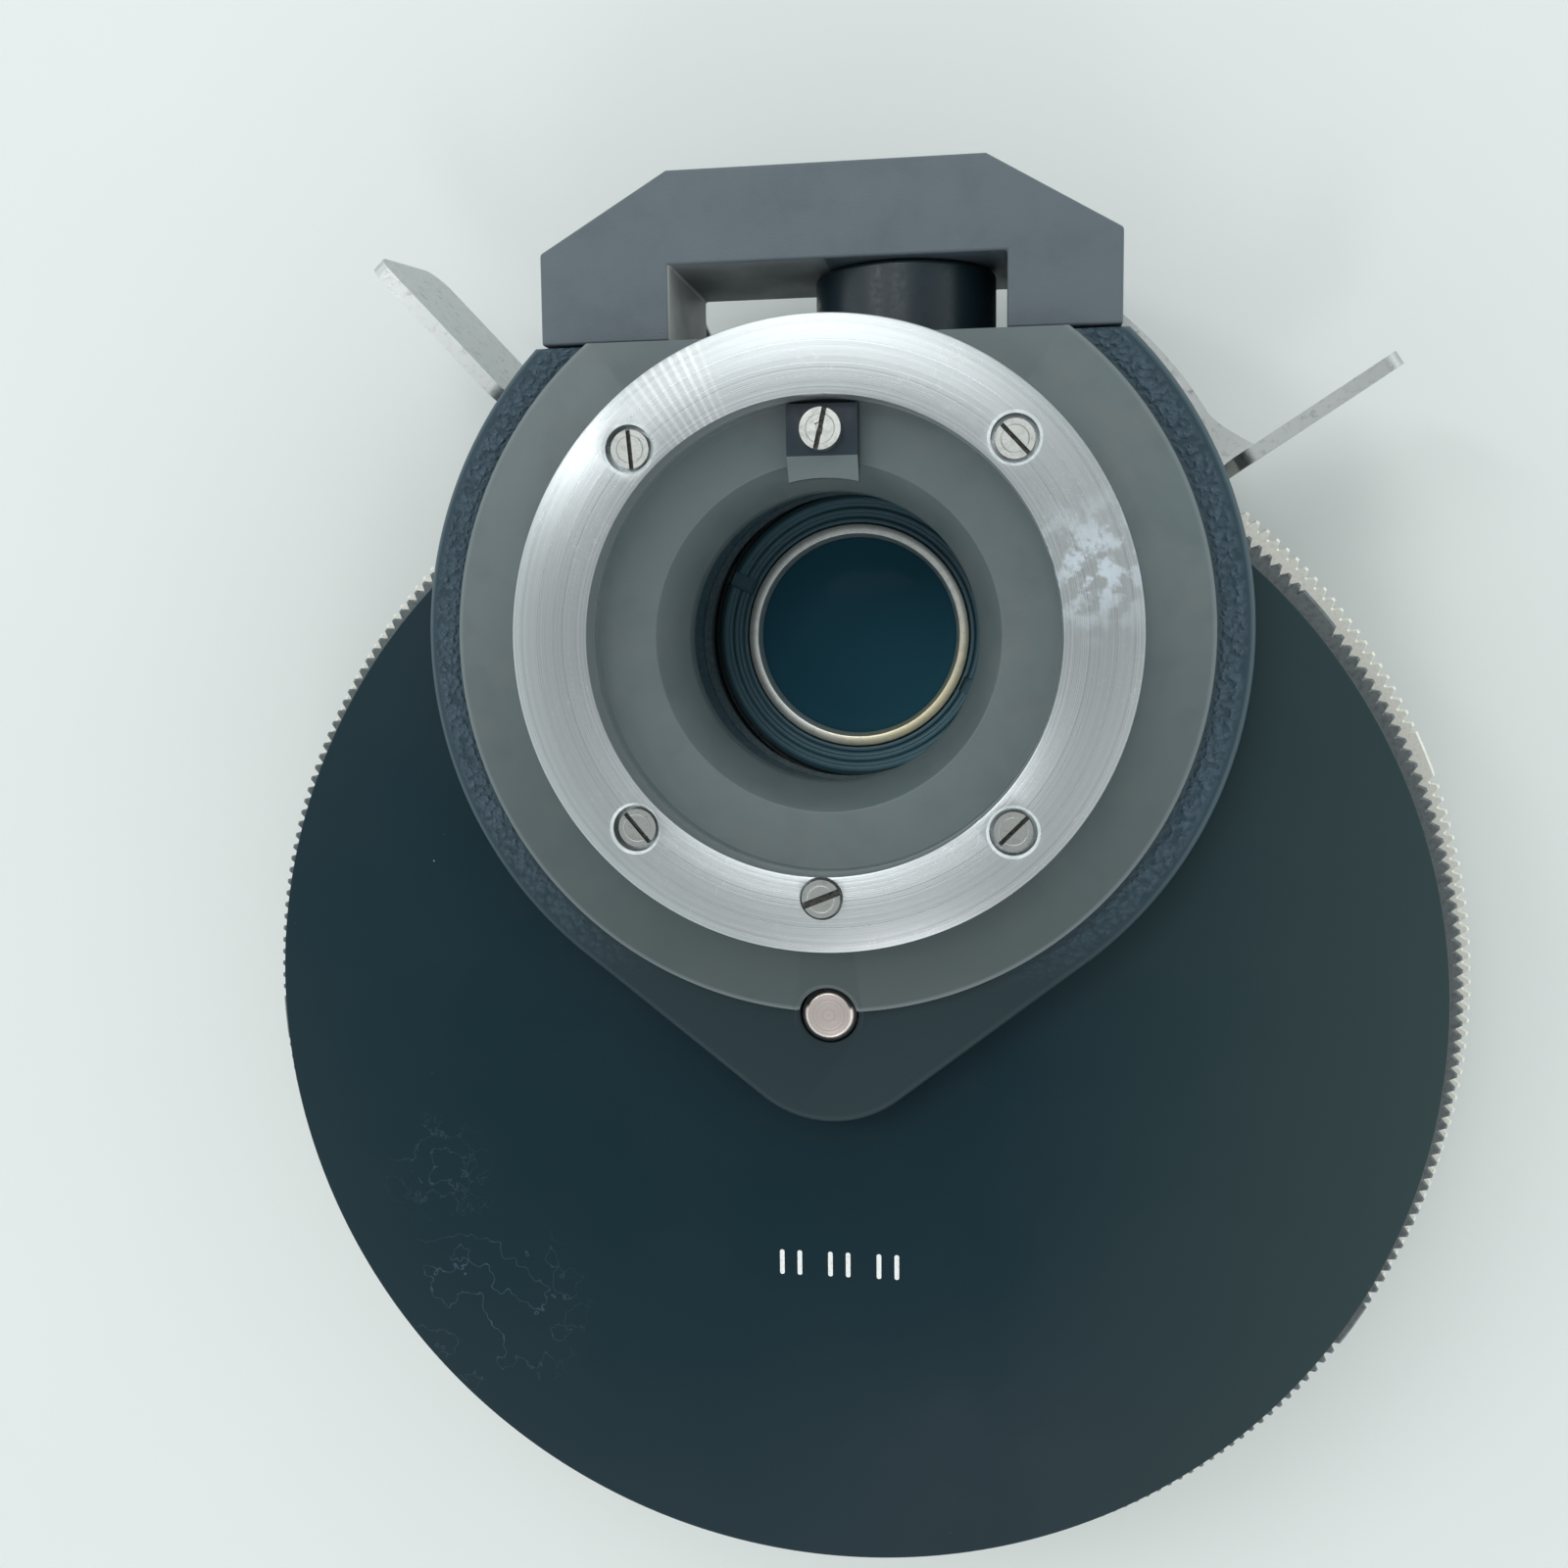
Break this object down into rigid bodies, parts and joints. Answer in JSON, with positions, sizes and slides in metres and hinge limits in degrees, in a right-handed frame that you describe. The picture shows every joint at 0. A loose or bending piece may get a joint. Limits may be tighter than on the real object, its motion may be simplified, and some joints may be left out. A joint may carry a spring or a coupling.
{
  "type": "microscope condenser turret",
  "caption": "Microscope condenser turret with stacked knurled wheels, a screwed change ring, an iris with finger tabs, a condenser lens and a rear mounting bracket.",
  "frame": {"origin": "centre of the bounding box's bottom face, which is the bench surface the unit lies on", "axes": "+Z out of the change ring along the light path, +Y towards the rear bracket, +X to the right of the light path seen from the change ring"},
  "size_m": [0.1608, 0.1826, 0.0505],
  "materials": {
    "turned_steel": "lathe-turned, satin",
    "screw_steel": "turned, slightly worn",
    "spring_steel": "bare spring wire",
    "stainless_sheet": "blanked sheet, satin",
    "blued_block": "satin black",
    "collar_grey": "smooth matt grey",
    "crinkle_paint": "crinkle enamel",
    "cover_black": "smooth satin black",
    "wheel_dark": "dark anodised, fine knurl",
    "wheel_light": "clear anodised, fine knurl",
    "bracket_grey": "matt grey",
    "black_anodised": "black anodised",
    "blade_steel": "blackened spring steel",
    "nickelled_brass": "nickelled, worn",
    "optical_glass": "polished, coated"
  },
  "bodies": {
    "frame": {"change_ring": "turned_steel", "ring_screw_1": "screw_steel", "ring_screw_2": "screw_steel", "ring_screw_3": "screw_steel", "ring_screw_4": "screw_steel", "stop_screw": "screw_steel", "key_block": "blued_block", "key_screw": "screw_steel", "collar_plate": "collar_grey", "upper_housing": "crinkle_paint", "cover_plate": "cover_black", "turret_axle": "turned_steel", "axle_nut": "screw_steel", "bottom_plate": "black_anodised", "plate_screw_left": "screw_steel", "plate_screw_right": "screw_steel", "barrel_screw_1": "screw_steel", "barrel_screw_2": "screw_steel", "barrel_screw_3": "screw_steel", "foot_rim": "black_anodised", "foot_screw_left": "screw_steel", "foot_screw_right": "screw_steel", "iris_housing": "black_anodised", "lens_cell": "black_anodised", "lens_retaining_ring": "nickelled_brass", "condenser_lens": "optical_glass", "bracket": "bracket_grey", "bracket_screw_left": "screw_steel", "bracket_screw_right": "screw_steel", "pillar_post": "black_anodised", "upper_detent_spring": "spring_steel", "lower_detent_spring": "spring_steel"},
    "upper_turret": {"upper_wheel": "wheel_dark", "upper_insert_1": "black_anodised", "upper_insert_2": "black_anodised", "upper_insert_3": "black_anodised", "upper_insert_4": "black_anodised"},
    "lower_turret": {"lower_wheel": "wheel_light", "lower_insert_1": "optical_glass", "lower_insert_2": "optical_glass", "lower_insert_3": "optical_glass", "lower_insert_4": "optical_glass"},
    "iris_control": {"iris_lever": "stainless_sheet", "iris_drive_pin": "screw_steel", "iris_cam_ring": "black_anodised"},
    "upper_ball": {"upper_detent_ball": "screw_steel"},
    "lower_ball": {"lower_detent_ball": "screw_steel"},
    "blade_1": {"iris_blade_1": "blade_steel"},
    "blade_2": {"iris_blade_2": "blade_steel"},
    "blade_3": {"iris_blade_3": "blade_steel"},
    "blade_4": {"iris_blade_4": "blade_steel"},
    "blade_5": {"iris_blade_5": "blade_steel"},
    "blade_6": {"iris_blade_6": "blade_steel"}
  },
  "joints": [
    {"name": "upper_turret_turn", "type": "hinge", "parent": "frame", "child": "upper_turret", "pos_m": [0, -0.01095, 0.0294], "axis": [0, 0, 1], "continuous": true},
    {"name": "lower_turret_turn", "type": "hinge", "parent": "frame", "child": "lower_turret", "pos_m": [0, -0.01095, 0.022], "axis": [0, 0, 1], "continuous": true},
    {"name": "iris_turn", "type": "hinge", "parent": "frame", "child": "iris_control", "pos_m": [0, 0.03545, 0.0148], "axis": [0, 0, 1], "range_deg": [-3, 16]},
    {"name": "upper_ball_slide", "type": "slide", "parent": "frame", "child": "upper_ball", "axis": [0, 0, 1], "range_m": [0, 0.0002], "stiffness_N_per_m": 200, "springref_m": -0.0005, "deforming": ["upper_detent_spring"]},
    {"name": "lower_ball_slide", "type": "slide", "parent": "frame", "child": "lower_ball", "axis": [0, 0, -1], "range_m": [0, 0.0002], "stiffness_N_per_m": 200, "springref_m": -0.0005, "deforming": ["lower_detent_spring"]},
    {"name": "blade_1_turn", "type": "hinge", "parent": "frame", "child": "blade_1", "pos_m": [0.0303, 0.03545, 0.01], "axis": [0, 0, 1], "range_deg": [-3.5, 16.5]},
    {"name": "blade_2_turn", "type": "hinge", "parent": "frame", "child": "blade_2", "pos_m": [0.01515, 0.06169, 0.01], "axis": [0, 0, 1], "range_deg": [-3.5, 16.5]},
    {"name": "blade_3_turn", "type": "hinge", "parent": "frame", "child": "blade_3", "pos_m": [-0.01515, 0.06169, 0.01], "axis": [0, 0, 1], "range_deg": [-3.5, 16.5]},
    {"name": "blade_4_turn", "type": "hinge", "parent": "frame", "child": "blade_4", "pos_m": [-0.0303, 0.03545, 0.01], "axis": [0, 0, 1], "range_deg": [-3.5, 16.5]},
    {"name": "blade_5_turn", "type": "hinge", "parent": "frame", "child": "blade_5", "pos_m": [-0.01515, 0.00921, 0.01], "axis": [0, 0, 1], "range_deg": [-3.5, 16.5]},
    {"name": "blade_6_turn", "type": "hinge", "parent": "frame", "child": "blade_6", "pos_m": [0.01515, 0.00921, 0.01], "axis": [0, 0, 1], "range_deg": [-3.5, 16.5]}
  ],
  "couplings": [
    {"joint": "blade_1_turn", "follows": "iris_turn", "ratio": 1},
    {"joint": "blade_2_turn", "follows": "iris_turn", "ratio": 1},
    {"joint": "blade_3_turn", "follows": "iris_turn", "ratio": 1},
    {"joint": "blade_4_turn", "follows": "iris_turn", "ratio": 1},
    {"joint": "blade_5_turn", "follows": "iris_turn", "ratio": 1},
    {"joint": "blade_6_turn", "follows": "iris_turn", "ratio": 1}
  ]
}
